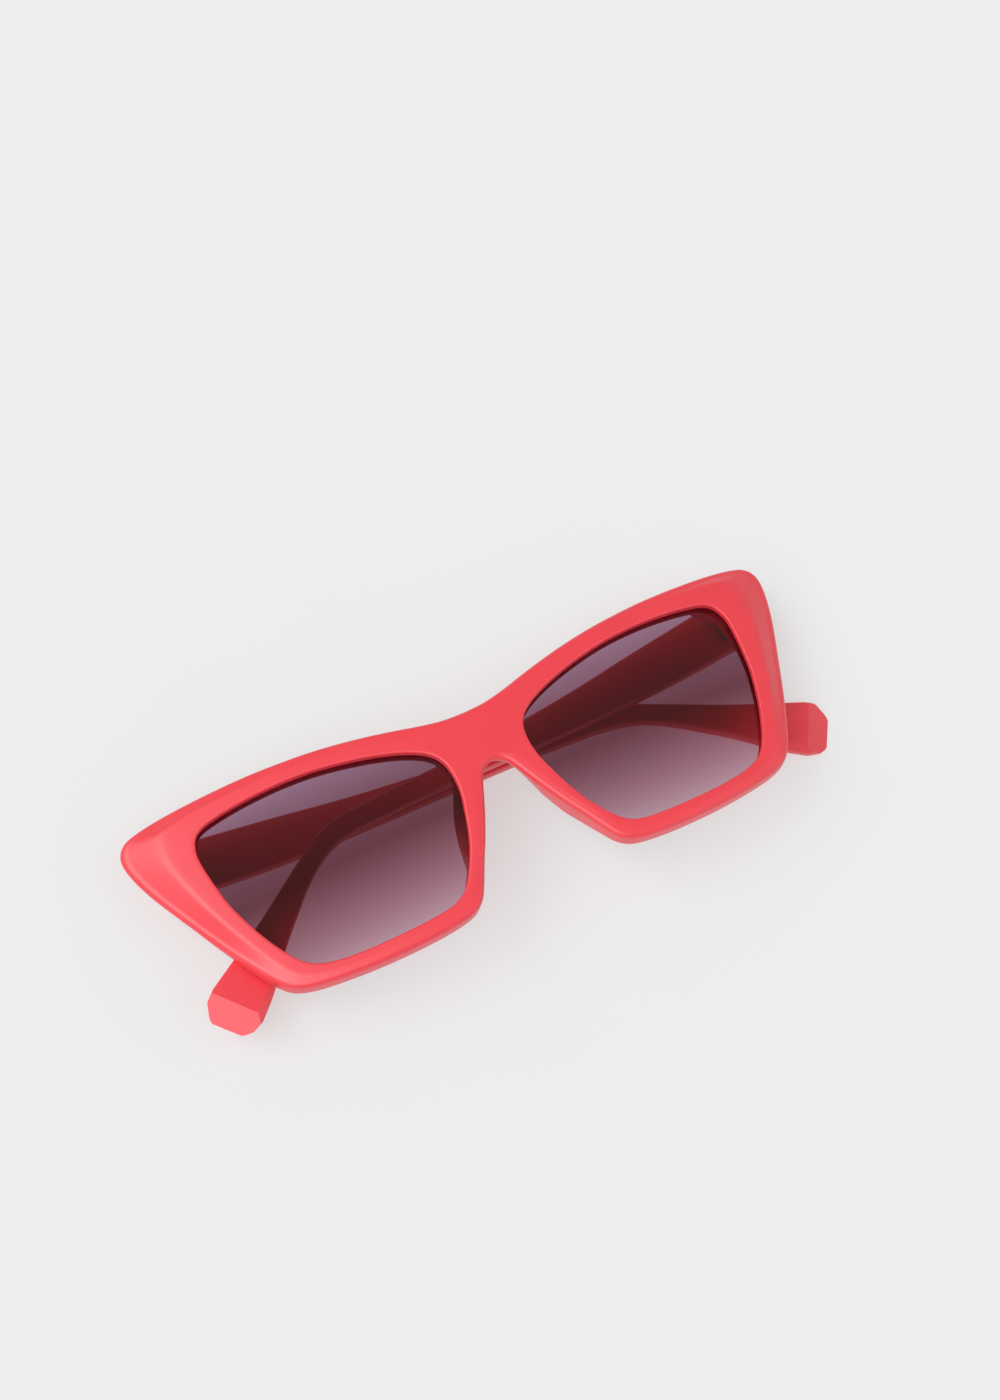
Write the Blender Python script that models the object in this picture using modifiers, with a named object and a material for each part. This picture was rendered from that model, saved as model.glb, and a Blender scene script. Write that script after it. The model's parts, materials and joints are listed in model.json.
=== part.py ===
"""Folding cat eye sunglasses: a wrapped plastic front, two lenses, and two temples on five-knuckle hinges.

The pair lies folded, front side up, on the outer face of its right temple. Left and right are the
wearer's. All lengths are in millimetres until they reach Blender, which takes metres.

The front is drawn in its own frame: X across (+X is the wearer's left), Y up towards the brow, and Z out
of the front. The empty "pair" turns and lifts that frame, so that the lower temple lies flat on Z = 0.
"""

import math

import bmesh
import bpy
from mathutils import Matrix, Vector

MM = 0.001

# Front: a shallow wrap, as the sagitta's curvature across and up the face (1/mm)
WRAP_X = 0.00313
WRAP_Y = 0.00052
RIM_DEPTH = 4.5          # front face to back face
BACK_RISE = 0.35         # share of the edge's drop by which its back is thinned
PAD_DEPTH = 8.2          # front face to the back of the nose pads
INNER_EDGE = 0.45        # rounding of the edge round each lens
OUTER_EDGE = 1.1         # rounding of the outer edge, front
BACK_EDGE = 0.6          # rounding of the outer edge, back
ROUND_MIDDLE = 0.29      # how far in, as a share of its radius, a rounding is at 45 degrees
MIDDLE_BREAK = 0.6       # where the face breaks over the bridge, as a share of its width
CREST_SPREAD = 0.12      # share of the face on each side of its break over which it bends
CREST_DROPS = (0.04, 0.2)           # shares of the edge's drop at the break, and just past it
LIP_EDGE, LIP_WIDTH = 0.35, 0.9     # rounding and width of the lip behind the lens
PAD_RISE = 0.2           # how far the pad's inner side stands above its back
ENDPIECE_BACK = -13.9    # flat face that the temples butt against
PAD_LIP = 1.2            # how far the nose pads reach behind the lens
PAD_SLOPE = 2.2          # how much deeper they are there than the rim

# Lens and the groove that holds it, as depths behind the front face
GROOVE_FRONT, GROOVE_BACK = 1.45, 3.85
GROOVE_FLOOR, GROOVE_CORNER = 0.9, 0.35
LENS_FRONT, LENS_THICK = 1.75, 1.8
LENS_IN_GROOVE = 0.6
LENS_CROWN = 0.5
LENS_BEVEL = 0.35
LENS_RINGS = (0.3, 0.6, 0.85, 0.97)  # shares of the way from a lens's middle to its edge

# Hinges: one axis on each side, along Y
HINGE_X, HINGE_Z = 66.8, -15.4
HINGE_Y = 14.4
KNUCKLE_R, KNUCKLE_BORE = 1.2, 0.75
KNUCKLE_PITCH, KNUCKLE_WIDTH = 1.5, 1.2
LEAF_NEAR, LEAF_FAR = 0.4, 1.2      # the leaf's two faces, measured from the axis
LEAF_LENGTH = 5.5
KNUCKLES = 5
HINGE_HALF = KNUCKLES / 2 * KNUCKLE_PITCH     # half the height of the stack of knuckles
SLOT_DEPTH, SLOT_PAST_END = 2.0, 2.0          # slots for the other leaf's knuckles
BORE_HALF, LEAF_HOLE_HALF = 6.0, 3.0          # half the length of the holes that go right through
LEAF_INSET = 0.1         # the leaf's ends, inside the stack of knuckles
LEAF_SCREW_AT, LEAF_SCREW_SPACING = 3.5, 4.6
LEAF_HOLE_R = 1.05       # hole for a screw in a leaf
SCREW_HOLE_R = 0.75      # hole for a screw in the plastic
FRONT_HOLE_DEPTH, TEMPLE_HOLE_DEPTH = 3.2, 2.2
# Half section of a leaf's screw: (radius, depth below the leaf's near face)
LEAF_SCREW = ((0.0, 0.1), (0.85, 0.1), (0.85, 0.4), (0.45, 0.8), (0.45, 2.6), (0.0, 3.1))
PIN_R = 0.5
PIN_TAIL = 0.2           # how far the pin shows below the bottom knuckle
HEAD_GAP = 0.1           # from the top knuckle's end to the pin's head
HEAD_R, HEAD_HEIGHT = 1.0, 0.7
DRIVER_DEPTH, DRIVER_WIDTH = 0.25, 0.3

# Temples: a plate seen from the side, in s (along it, from the hinge axis) and y
TEMPLE_INNER, TEMPLE_THICK = 1.5, 3.0
TEMPLE_EDGE = 0.7
EAR_PIVOT = (98.0, 7.2)
EAR_BLEND = 12.0
EAR_TURN = {"left": 4.0, "right": -4.0}      # degrees: each ear end is adjusted on its own
FOLD = {"left": 0.050, "right": 0.018}       # radians: past square, and short of it

GAP = 0.3
MIRROR_WELD = 0.0001     # metres: points this near the plane between the halves are joined
SPUN_WELD = 0.001        # millimetres, for the turned shapes of the screws
CURVE_WELD = 0.00001     # metres, for the temples' plates
SHARP_FROM = math.radians(35.0)

# (lens opening, outer edge, share of the way where the face breaks, drop of the edge, endpiece, pad, and how
# far the wall leans in under the edge)
SIDE_STATIONS = (
    ((8.6, 2.6), (0.0, 2.95), 0.60, 0.15, 0.0, 0.0, 0.95),
    ((8.8, 0.4), (1.45, 2.5), 0.60, 0.15, 0.0, 0.0, 1.0),
    ((9.2, -1.6), (2.75, 1.4), 0.60, 0.15, 0.0, 0.15, 1.2),
    ((9.8, -3.6), (3.8, -0.6), 0.60, 0.15, 0.0, 0.4, 1.45),
    ((10.6, -6.2), (5.0, -3.3), 0.60, 0.15, 0.0, 0.75, 1.6),
    ((11.5, -8.8), (6.65, -6.8), 0.60, 0.15, 0.0, 1.0, 1.35),
    ((13.0, -12.2), (8.8, -11.0), 0.60, 0.15, 0.0, 1.0, 1.0),
    ((15.2, -15.9), (11.2, -15.2), 0.60, 0.15, 0.0, 0.75, 0.7),
    ((17.3, -18.6), (13.3, -19.05), 0.60, 0.15, 0.0, 0.35, 0.35),
    ((19.3, -20.1), (15.15, -22.0), 0.60, 0.15, 0.0, 0.1, 0.15),
    ((21.2, -20.75), (17.4, -23.6), 0.62, 0.15, 0.0, 0.0, 0.0),
    ((23.8, -21.1), (20.7, -24.4), 0.62, 0.15, 0.0, 0.0, 0.0),
    ((28.0, -21.3), (26.0, -24.8), 0.62, 0.15, 0.0, 0.0, 0.0),
    ((34.0, -21.25), (33.0, -24.8), 0.62, 0.15, 0.0, 0.0, 0.0),
    ((40.0, -20.95), (40.0, -24.4), 0.62, 0.15, 0.0, 0.0, 0.0),
    ((45.7, -20.15), (47.0, -23.55), 0.62, 0.15, 0.0, 0.0, 0.0),
    ((49.3, -18.95), (51.8, -22.6), 0.60, 0.2, 0.0, 0.0, 0.0),
    ((51.6, -17.3), (55.3, -21.15), 0.57, 0.3, 0.0, 0.0, 0.0),
    ((53.3, -15.0), (57.8, -18.55), 0.55, 0.5, 0.0, 0.0, 0.0),
    ((54.9, -12.0), (60.15, -14.55), 0.54, 0.9, 0.0, 0.0, 0.0),
    ((56.6, -8.2), (62.45, -10.15), 0.52, 1.4, 0.0, 0.0, 0.0),
    ((58.0, -4.2), (64.85, -5.15), 0.52, 1.8, 0.0, 0.0, 0.0),
    ((59.2, 0.0), (67.2, 0.1), 0.51, 2.1, 0.05, 0.0, 0.1),
    ((59.9, 4.6), (69.35, 4.95), 0.51, 2.3, 0.5, 0.0, 0.7),
    ((60.3, 8.6), (71.2, 9.4), 0.50, 2.5, 1.0, 0.0, 1.4),
    ((60.3, 11.8), (72.65, 13.8), 0.49, 2.6, 1.0, 0.0, 1.4),
    ((59.5, 14.3), (73.35, 17.45), 0.49, 2.6, 1.0, 0.0, 1.4),
    ((58.5, 15.5), (73.05, 19.9), 0.51, 2.5, 1.0, 0.0, 1.4),
    ((57.2, 16.2), (71.6, 21.6), 0.56, 2.3, 0.95, 0.0, 1.3),
    ((55.8, 16.6), (69.0, 22.35), 0.61, 1.9, 0.6, 0.0, 0.8),
    ((54.1, 16.85), (64.6, 22.65), 0.66, 1.4, 0.2, 0.0, 0.3),
    ((51.4, 17.15), (59.0, 22.65), 0.68, 0.9, 0.0, 0.0, 0.0),
    ((46.5, 17.4), (52.0, 22.45), 0.68, 0.5, 0.0, 0.0, 0.0),
    ((41.0, 17.35), (45.0, 22.1), 0.66, 0.25, 0.0, 0.0, 0.0),
    ((36.0, 17.0), (38.5, 21.5), 0.64, 0.15, 0.0, 0.0, 0.0),
    ((31.2, 16.35), (32.0, 20.75), 0.62, 0.15, 0.0, 0.0, 0.0),
    ((25.4, 15.1), (25.0, 19.55), 0.62, 0.15, 0.0, 0.0, 0.0),
    ((20.5, 13.75), (19.0, 18.25), 0.62, 0.15, 0.0, 0.0, 0.0),
    ((16.6, 12.4), (14.0, 17.0), 0.62, 0.15, 0.0, 0.0, 0.0),
    ((13.8, 11.15), (9.0, 15.7), 0.62, 0.15, 0.0, 0.0, 0.0),
    ((12.5, 10.4), (4.5, 14.85), 0.62, 0.15, 0.0, 0.0, 0.0),
    ((11.3, 9.6), (0.0, 14.55), 0.62, 0.15, 0.0, 0.0, 0.0),
)
# Where the rim runs into the bridge, each section ends on the plane between the two halves.
BRIDGE_STATIONS = (
    ((10.1, 8.4), 10.9),
    ((9.1, 6.6), 8.1),
    ((8.7, 4.7), 5.6),
)

# Side outline of a temple, from the top of the hinge end round the ear end and back
TEMPLE_TOP = (
    (-1.1, 19.7), (6.0, 19.3), (15.0, 18.1), (26.0, 16.5), (40.0, 14.3), (52.0, 12.8), (66.0, 11.4),
    (80.0, 10.5), (92.0, 9.8), (98.5, 9.1), (103.5, 7.6), (109.0, 4.7), (115.5, 1.0), (124.0, -3.7),
)
TEMPLE_END = ((136.9, -10.2), (139.0, -11.8), (140.6, -15.8), (136.5, -20.9), (134.0, -21.2), (131.4, -20.3))
TEMPLE_BOTTOM = (
    (127.0, -16.7), (119.8, -9.5), (114.0, -4.4), (109.0, -0.3), (104.0, 2.8), (98.0, 4.7), (88.0, 5.6),
    (74.0, 6.1), (58.0, 6.2), (42.0, 6.4), (26.0, 6.8), (12.0, 7.8), (5.0, 8.5), (-1.1, 8.9),
)
# The slanted facet across the ear end: it leaves the inner face on this line and meets the end's lower edge
FACET_LINE = ((136.6, -12.3), (130.9, -20.1))
FACET_SLOPE = math.radians(32.0)
# A chamfer along the ear end's lower edge, on the inner face: it deepens towards the tip
CHAMFER_LINE = ((131.4, -18.6), (114.0, -4.9))
CHAMFER_SLOPE = math.radians(40.0)
# Block that cuts a slope: along its line, down the slope and up from it, with a small overlap at the line
BLOCK = (30.0, 20.0, 6.0)
BLOCK_OVERLAP = 0.01

CORAL = (0.80, 0.075, 0.095, 1.0)
SMOKE = (0.16, 0.07, 0.10, 0.45)
STEEL = (0.55, 0.54, 0.52, 1.0)
CORAL_ROUGHNESS, SMOKE_ROUGHNESS, STEEL_ROUGHNESS = 0.55, 0.08, 0.3


def clear_scene():
    """Remove every object of the startup scene."""
    for obj in list(bpy.data.objects):
        bpy.data.objects.remove(obj, do_unlink=True)


def new_collection(name):
    """A collection linked to the scene."""
    collection = bpy.data.collections.new(name)
    bpy.context.scene.collection.children.link(collection)
    return collection


def material(name, colour, roughness, metallic=0.0):
    """A plain Principled material."""
    made = bpy.data.materials.new(name)
    made.use_nodes = True
    made.diffuse_color = colour
    shader = made.node_tree.nodes["Principled BSDF"]
    shader.inputs["Base Color"].default_value = (*colour[:3], 1.0)
    shader.inputs["Alpha"].default_value = colour[3]
    shader.inputs["Roughness"].default_value = roughness
    shader.inputs["Metallic"].default_value = metallic
    return made


def face_z(x, y):
    """Height of the front face over the point (x, y), in millimetres."""
    return -WRAP_X * x * x / 2 - WRAP_Y * y * y / 2


def unit(dx, dy):
    """The vector (dx, dy) at length 1."""
    length = math.hypot(dx, dy)
    return dx / length, dy / length


def lerp(a, b, share):
    """The point this share of the way from a to b."""
    return tuple(u + (v - u) * share for u, v in zip(a, b))


def smooth(share):
    """An S-shaped ramp from 0 to 1."""
    share = min(max(share, 0.0), 1.0)
    return share * share * (3 - 2 * share)


def inward(points, index, closed):
    """Unit vector to the left of the walk, at one point of an outline that runs anticlockwise."""
    before = points[index - 1] if index or closed else points[index]
    after = points[(index + 1) % len(points)] if index + 1 < len(points) or closed else points[index]
    tx, ty = unit(after[0] - before[0], after[1] - before[1])
    return -ty, tx


def mesh_object(name, bm, collection, surface):
    """A smooth-shaded mesh object from a bmesh drawn in millimetres."""
    bmesh.ops.scale(bm, vec=(MM, MM, MM), verts=bm.verts)
    mesh = bpy.data.meshes.new(name)
    bm.to_mesh(mesh)
    bm.free()
    mesh.materials.append(surface)
    mesh.shade_smooth()
    mesh.set_sharp_from_angle(angle=SHARP_FROM)
    obj = bpy.data.objects.new(name, mesh)
    collection.objects.link(obj)
    return obj


def add_boolean(obj, cutter, operation="DIFFERENCE"):
    """Cut or join another mesh with the EXACT solver."""
    modifier = obj.modifiers.new(cutter.name, "BOOLEAN")
    modifier.operation = operation
    modifier.solver = "EXACT"
    modifier.object = cutter


def as_cutter(obj, collection):
    """Keep a helper out of the model."""
    for owner in list(obj.users_collection):
        owner.objects.unlink(obj)
    collection.objects.link(obj)
    obj.hide_render = True
    obj.display_type = "WIRE"
    return obj


def box(name, low, high, collection, surface=None):
    """A box between two corners, in millimetres."""
    bm = bmesh.new()
    bmesh.ops.create_cube(bm, size=1.0)
    size = [b - a for a, b in zip(low, high)]
    middle = [(a + b) / 2 for a, b in zip(low, high)]
    bmesh.ops.scale(bm, vec=size, verts=bm.verts)
    bmesh.ops.translate(bm, vec=middle, verts=bm.verts)
    return mesh_object(name, bm, collection, surface)


def rod(name, radius, start, end, collection, surface=None, sides=16):
    """A round bar between two points, in millimetres."""
    bm = bmesh.new()
    axis = Vector(end) - Vector(start)
    bmesh.ops.create_cone(
        bm, cap_ends=True, segments=sides, radius1=radius, radius2=radius, depth=axis.length
    )
    turn = Vector((0, 0, 1)).rotation_difference(axis).to_matrix().to_4x4()
    place = Matrix.Translation((Vector(start) + Vector(end)) / 2) @ turn
    bmesh.ops.transform(bm, matrix=place, verts=bm.verts)
    return mesh_object(name, bm, collection, surface)


# ---------------------------------------------------------------- front


def rim_section(station, out, into):
    """Points of one section through the rim, from the lens edge over the face, down the wall and back.

    out is the unit vector at the outer edge into the material, into is the one at the lens opening.
    """
    opening, edge, break_at, drop, endpiece, pad, lean = station
    floor = face_z(*edge) - RIM_DEPTH + BACK_RISE * drop - (PAD_DEPTH - RIM_DEPTH) * pad
    floor += (ENDPIECE_BACK - floor) * endpiece

    def from_lens(offset, depth):
        x, y = opening[0] + into[0] * offset, opening[1] + into[1] * offset
        return x, y, face_z(x, y) - depth

    def from_edge(offset, z=None, depth=None):
        x, y = edge[0] + out[0] * offset, edge[1] + out[1] * offset
        return x, y, z if depth is None else face_z(x, y) - depth

    def on_face(share, depth):
        x, y = lerp(from_lens(INNER_EDGE, 0)[:2], from_edge(OUTER_EDGE, 0)[:2], share)
        return x, y, face_z(x, y) - depth

    inner_back = RIM_DEPTH + PAD_SLOPE * pad
    lip = PAD_LIP * pad
    block = max(endpiece, pad)
    lens_side = from_lens(LIP_WIDTH - lip, inner_back)
    lens_side = (*lens_side[:2], lens_side[2] + (floor + PAD_RISE * pad - lens_side[2]) * block)
    return [
        from_lens(0, INNER_EDGE),
        from_lens(ROUND_MIDDLE * INNER_EDGE, ROUND_MIDDLE * INNER_EDGE),
        from_lens(INNER_EDGE, 0),
        on_face(break_at - CREST_SPREAD, 0),
        on_face(break_at, CREST_DROPS[0] * drop),
        on_face(break_at + CREST_SPREAD, CREST_DROPS[1] * drop),
        from_edge(OUTER_EDGE, depth=drop),
        from_edge(ROUND_MIDDLE * OUTER_EDGE, depth=drop + ROUND_MIDDLE * OUTER_EDGE),
        from_edge(0, depth=drop + OUTER_EDGE),
        from_edge(lean, floor + BACK_EDGE),
        from_edge(lean + ROUND_MIDDLE * BACK_EDGE, floor + ROUND_MIDDLE * BACK_EDGE),
        from_edge(lean + BACK_EDGE, floor),
        lens_side,
        from_lens(LIP_EDGE - lip, inner_back),
        from_lens(-lip, inner_back - LIP_EDGE),
        from_lens(0, GROOVE_BACK),
        from_lens(GROOVE_FLOOR, GROOVE_BACK - GROOVE_CORNER),
        from_lens(GROOVE_FLOOR, GROOVE_FRONT + GROOVE_CORNER),
        from_lens(0, GROOVE_FRONT),
    ]


WALL_FIRST, WALL_LAST = 6, 11      # points of a section that the bridge's sections do without


def opening_outline():
    """The lens opening, walked anticlockwise, so that the rim lies to the right."""
    points = [station[0] for station in SIDE_STATIONS]
    return points + [opening for opening, _ in BRIDGE_STATIONS]


def bridge_section(opening, into, y):
    """A section from the lens opening to the plane between the halves."""
    section = rim_section((opening, (0.0, y), MIDDLE_BREAK, 0.0, 0.0, 0.0, 0.0), (1.0, 0.0), into)
    for index in range(WALL_FIRST, WALL_LAST + 1):
        section[index] = None
    section[WALL_FIRST] = (0.0, y, face_z(0, y))
    section[WALL_LAST] = (0.0, y, face_z(0, y) - RIM_DEPTH)
    return section


def half_front():
    """The +X half of the front as a ring of sections, open at the plane x = 0."""
    openings = opening_outline()
    edges = [station[1] for station in SIDE_STATIONS]
    sections = []
    for index, station in enumerate(SIDE_STATIONS):
        into = inward(openings, index, closed=True)
        out = inward(edges, index, closed=False)
        if index == 0:
            out = (0.0, 1.0)
        if index == len(SIDE_STATIONS) - 1:
            out = (0.0, -1.0)
        into = (-into[0], -into[1])
        sections.append(rim_section(station, out, into))
    for index, (opening, y) in enumerate(BRIDGE_STATIONS, start=len(SIDE_STATIONS)):
        into = inward(openings, index, closed=True)
        sections.append(bridge_section(opening, (-into[0], -into[1]), y))
    bm = bmesh.new()
    rings = [[p and bm.verts.new(p) for p in section] for section in sections]
    for index, ring in enumerate(rings):
        after = rings[(index + 1) % len(rings)]
        for a in range(len(ring)):
            b = (a + 1) % len(ring)
            corners = (ring[a], after[a], after[b], ring[b])
            if all(corners):
                bm.faces.new(corners)
    return bm


def make_front(parts, cutters, surface):
    """The front: rims, bridge, nose pads and endpieces, moulded in one."""
    front = mesh_object("front_frame", half_front(), parts, surface)
    mirror = front.modifiers.new("other_half", "MIRROR")
    mirror.merge_threshold = MIRROR_WELD
    for side_name, side in (("left", 1), ("right", -1)):
        for index, y in enumerate(screw_heights()):
            x = side * (HINGE_X - LEAF_SCREW_AT)
            start = (x, y, ENDPIECE_BACK - 1)
            end = (x, y, ENDPIECE_BACK + FRONT_HOLE_DEPTH)
            hole = rod(f"cut_front_{side_name}_{index}", SCREW_HOLE_R, start, end, cutters, sides=12)
            add_boolean(front, as_cutter(hole, cutters))
    return front


# ---------------------------------------------------------------- lenses


def make_lens(side_name, side, parts, surface):
    """One lens: a crowned sheet that follows the wrap, its edge inside the rim's groove."""
    outline = opening_outline()
    middle = (sum(p[0] for p in outline) / len(outline), sum(p[1] for p in outline) / len(outline))
    edge = []
    for index, point in enumerate(outline):
        nx, ny = inward(outline, index, closed=True)
        edge.append((point[0] - nx * LENS_IN_GROOVE, point[1] - ny * LENS_IN_GROOVE))

    def at(point, share, depth):
        x, y = lerp(middle, point, share)
        return side * x, y, face_z(x, y) - depth + LENS_CROWN * (1 - share * share)

    bm = bmesh.new()
    back = LENS_FRONT + LENS_THICK
    rings = [[bm.verts.new(at(p, share, LENS_FRONT)) for p in edge] for share in LENS_RINGS]
    rings.append([bm.verts.new(at(p, 1.0, LENS_FRONT + LENS_BEVEL)) for p in edge])
    rings.append([bm.verts.new(at(p, 1.0, back - LENS_BEVEL)) for p in edge])
    rings += [[bm.verts.new(at(p, share, back)) for p in edge] for share in reversed(LENS_RINGS)]
    count = len(edge)
    for first, second in zip(rings, rings[1:]):
        for a in range(count):
            b = (a + 1) % count
            bm.faces.new((first[a], second[a], second[b], first[b]))
    for ring, depth in ((rings[0], LENS_FRONT), (rings[-1], back)):
        hub = bm.verts.new(at(middle, 0.0, depth))
        for a in range(count):
            bm.faces.new((hub, ring[a], ring[(a + 1) % count]))
    bmesh.ops.recalc_face_normals(bm, faces=bm.faces)
    return mesh_object(f"lens_{side_name}", bm, parts, surface)


# ---------------------------------------------------------------- hinges


def screw_heights():
    """Heights of a leaf's two screws."""
    return HINGE_Y - LEAF_SCREW_SPACING / 2, HINGE_Y + LEAF_SCREW_SPACING / 2


def knuckle_centres(which):
    """Heights of the knuckles: the front leaf has the odd ones, the temple leaf the even ones."""
    first = 0 if which == "front" else 1
    return [HINGE_Y + (index - KNUCKLES // 2) * KNUCKLE_PITCH for index in range(first, KNUCKLES, 2)]


def make_leaf(which, side_name, side, parts, cutters, surface):
    """One hinge leaf, drawn about its hinge axis as it lies with the pair folded square."""
    up = 1 if which == "front" else -1
    tag = f"{which}_{side_name}"
    inboard = -side

    def span(low, high):
        return min(inboard * low, inboard * high), max(inboard * low, inboard * high)

    x0, x1 = span(0.0, LEAF_LENGTH)
    z0, z1 = sorted((up * LEAF_NEAR, up * LEAF_FAR))
    leaf = box(
        f"{which}_hinge_{side_name}",
        (x0, HINGE_Y - HINGE_HALF + LEAF_INSET, z0),
        (x1, HINGE_Y + HINGE_HALF - LEAF_INSET, z1),
        parts,
        surface,
    )
    barrel = rod(
        f"join_barrel_{tag}",
        KNUCKLE_R,
        (0, HINGE_Y - HINGE_HALF + LEAF_INSET, 0),
        (0, HINGE_Y + HINGE_HALF - LEAF_INSET, 0),
        cutters,
        sides=20,
    )
    add_boolean(leaf, as_cutter(barrel, cutters), "UNION")
    other = knuckle_centres("temple" if which == "front" else "front")
    clearance = KNUCKLE_PITCH - KNUCKLE_WIDTH / 2
    for index, y in enumerate(other):
        c0, c1 = span(-SLOT_DEPTH, KNUCKLE_R + GAP)
        low = y - clearance - (SLOT_PAST_END if which == "temple" and index == 0 else 0)
        high = y + clearance + (SLOT_PAST_END if which == "temple" and index == 2 else 0)
        slot = box(f"cut_slot_{tag}_{index}", (c0, low, -SLOT_DEPTH), (c1, high, SLOT_DEPTH), cutters)
        add_boolean(leaf, as_cutter(slot, cutters))
    ends = ((0, HINGE_Y - BORE_HALF, 0), (0, HINGE_Y + BORE_HALF, 0))
    bore = rod(f"cut_bore_{tag}", KNUCKLE_BORE, *ends, cutters, sides=16)
    add_boolean(leaf, as_cutter(bore, cutters))
    for index, y in enumerate(screw_heights()):
        x = inboard * LEAF_SCREW_AT
        ends = ((x, y, -LEAF_HOLE_HALF), (x, y, LEAF_HOLE_HALF))
        hole = rod(f"cut_leaf_{tag}_{index}", LEAF_HOLE_R, *ends, cutters, sides=12)
        add_boolean(leaf, as_cutter(hole, cutters))
    return leaf


def make_leaf_screws(which, side_name, side, parts, surface):
    """The two countersunk screws of one leaf, as turned shapes about their own axes."""
    up = 1 if which == "front" else -1
    made = []
    for label, y in zip(("lower", "upper"), screw_heights()):
        name = f"{which}_leaf_screw_{side_name}_{label}"
        bm = bmesh.new()
        verts = [bm.verts.new((r, 0, -LEAF_NEAR - depth)) for r, depth in LEAF_SCREW]
        edges = [bm.edges.new(pair) for pair in zip(verts, verts[1:])]
        bmesh.ops.spin(
            bm, geom=verts + edges, cent=(0, 0, 0), axis=(0, 0, 1), angle=2 * math.pi, steps=12,
            use_merge=True,
        )
        bmesh.ops.remove_doubles(bm, verts=bm.verts, dist=SPUN_WELD)
        bmesh.ops.recalc_face_normals(bm, faces=bm.faces)
        if up > 0:
            bmesh.ops.rotate(bm, verts=bm.verts, cent=(0, 0, 0), matrix=Matrix.Rotation(math.pi, 3, "X"))
        bmesh.ops.translate(bm, vec=(-side * LEAF_SCREW_AT, y, 0), verts=bm.verts)
        made.append(mesh_object(name, bm, parts, surface))
    return made


def make_hinge_screw(side_name, parts, cutters, surface):
    """The screw that is a hinge's pin, with a slotted head above the top knuckle."""
    head_foot = HINGE_Y + HINGE_HALF + HEAD_GAP
    head_top = head_foot + HEAD_HEIGHT
    head_ends = ((0, head_foot, 0), (0, head_top, 0))
    pin = rod(f"hinge_screw_{side_name}", HEAD_R, *head_ends, parts, surface, 16)
    shank_ends = ((0, HINGE_Y - HINGE_HALF - PIN_TAIL, 0), (0, head_foot + GAP, 0))
    shank = rod(f"join_shank_{side_name}", PIN_R, *shank_ends, cutters)
    add_boolean(pin, as_cutter(shank, cutters), "UNION")
    slot_low = (-2 * HEAD_R, head_top - DRIVER_DEPTH, -DRIVER_WIDTH / 2)
    slot_high = (2 * HEAD_R, head_top + 1, DRIVER_WIDTH / 2)
    slot = box(f"cut_driver_{side_name}", slot_low, slot_high, cutters)
    add_boolean(pin, as_cutter(slot, cutters))
    return pin


# ---------------------------------------------------------------- temples


def turned_ear(point, degrees):
    """A point of the temple's outline after its ear end is bent by this much more or less."""
    turn = math.radians(degrees) * smooth((point[0] - EAR_PIVOT[0] + EAR_BLEND / 2) / EAR_BLEND)
    dx, dy = point[0] - EAR_PIVOT[0], point[1] - EAR_PIVOT[1]
    cos, sin = math.cos(turn), math.sin(turn)
    return EAR_PIVOT[0] + dx * cos + dy * sin, EAR_PIVOT[1] - dx * sin + dy * cos


def temple_plate(name, side_name, side):
    """The temple's plate as a filled 2D curve with rounded edges, in millimetres times MM."""
    curve = bpy.data.curves.new(name, "CURVE")
    curve.dimensions = "2D"
    curve.fill_mode = "BOTH"
    curve.resolution_u = 2
    curve.extrude = (TEMPLE_THICK / 2 - TEMPLE_EDGE) * MM
    curve.bevel_depth = TEMPLE_EDGE * MM
    curve.bevel_resolution = 1
    curve.offset = -TEMPLE_EDGE * MM
    outline = TEMPLE_TOP + TEMPLE_END + TEMPLE_BOTTOM
    corners = {TEMPLE_TOP[0], TEMPLE_BOTTOM[-1], *TEMPLE_END}
    spline = curve.splines.new("BEZIER")
    spline.use_cyclic_u = True
    spline.bezier_points.add(len(outline) - 1)
    for knot, point in zip(spline.bezier_points, outline):
        s, y = turned_ear(point, EAR_TURN[side_name])
        knot.co = (-side * s * MM, y * MM, 0)
        kind = "VECTOR" if point in corners else "AUTO"
        knot.handle_left_type = kind
        knot.handle_right_type = kind
    return curve


def curve_to_mesh(name, curve, shift, collection, surface):
    """A mesh object made from a curve, its caps welded and moved along Z by shift."""
    guide = bpy.data.objects.new(f"{name}_curve", curve)
    collection.objects.link(guide)
    graph = bpy.context.evaluated_depsgraph_get()
    mesh = bpy.data.meshes.new_from_object(guide.evaluated_get(graph))
    bpy.data.objects.remove(guide)
    bm = bmesh.new()
    bm.from_mesh(mesh)
    bpy.data.meshes.remove(mesh)
    bmesh.ops.remove_doubles(bm, verts=bm.verts, dist=CURVE_WELD)
    bmesh.ops.recalc_face_normals(bm, faces=bm.faces)
    bmesh.ops.scale(bm, vec=(1 / MM, 1 / MM, 1 / MM), verts=bm.verts)
    bmesh.ops.translate(bm, vec=(0, 0, shift), verts=bm.verts)
    return mesh_object(name, bm, collection, surface)


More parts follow.
